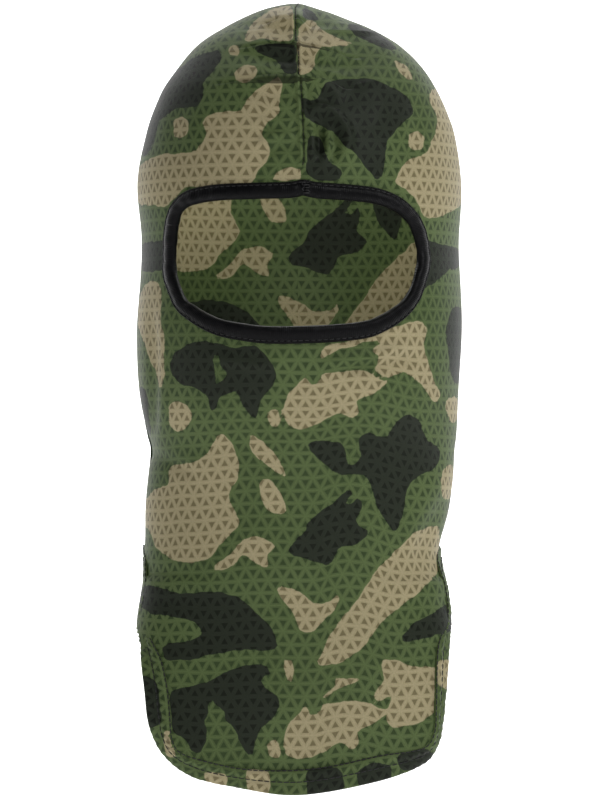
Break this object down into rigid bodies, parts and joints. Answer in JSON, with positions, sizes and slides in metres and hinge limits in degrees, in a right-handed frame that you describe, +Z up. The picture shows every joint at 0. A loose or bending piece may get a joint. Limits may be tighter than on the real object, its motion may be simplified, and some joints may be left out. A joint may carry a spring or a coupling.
{
  "type": "full-head face mask",
  "caption": "Stretch-knit hood for the whole head with one bound eye opening and a rounded hemmed bib in front and behind.",
  "frame": {"origin": "the middle of the wearer's head at eye level, halfway between the ears, at the head mount", "axes": "+Z up the wearer, -Y the way the wearer faces, +X to the wearer's left"},
  "size_m": [0.1685, 0.1998, 0.4089],
  "materials": {
    "printed_knit": "matte printed knit",
    "printed_hem": "matte printed knit, folded",
    "black_binding": "low-sheen elastic tape",
    "black_thread": "sewing thread",
    "elastic_core": "covered elastic"
  },
  "bodies": {
    "hood": {"hood_cloth": "printed_knit", "crown_seam_edges": "printed_knit", "crown_seam_stitches": "black_thread", "face_binding": "black_binding", "binding_elastic": "elastic_core", "binding_stitches": "black_thread", "binding_join_stitches": "black_thread", "right_vent_hem": "printed_hem", "left_vent_hem": "printed_hem", "right_vent_hem_stitches": "black_thread", "left_vent_hem_stitches": "black_thread"},
    "front_bib": {"front_bib_cloth": "printed_knit", "front_bib_hem": "printed_hem", "front_hem_seam_stitches": "black_thread", "front_hem_topstitches": "black_thread"},
    "back_bib": {"back_bib_cloth": "printed_knit", "back_bib_hem": "printed_hem", "back_hem_seam_stitches": "black_thread", "back_hem_topstitches": "black_thread"}
  },
  "joints": [
    {"name": "front_bib_lift", "type": "hinge", "parent": "hood", "child": "front_bib", "pos_m": [0, -0.062, -0.1753], "axis": [-1, 0, 0], "range_deg": [0, 60]},
    {"name": "back_bib_lift", "type": "hinge", "parent": "hood", "child": "back_bib", "pos_m": [0, 0.062, -0.1753], "axis": [1, 0, 0], "range_deg": [0, 60]}
  ]
}
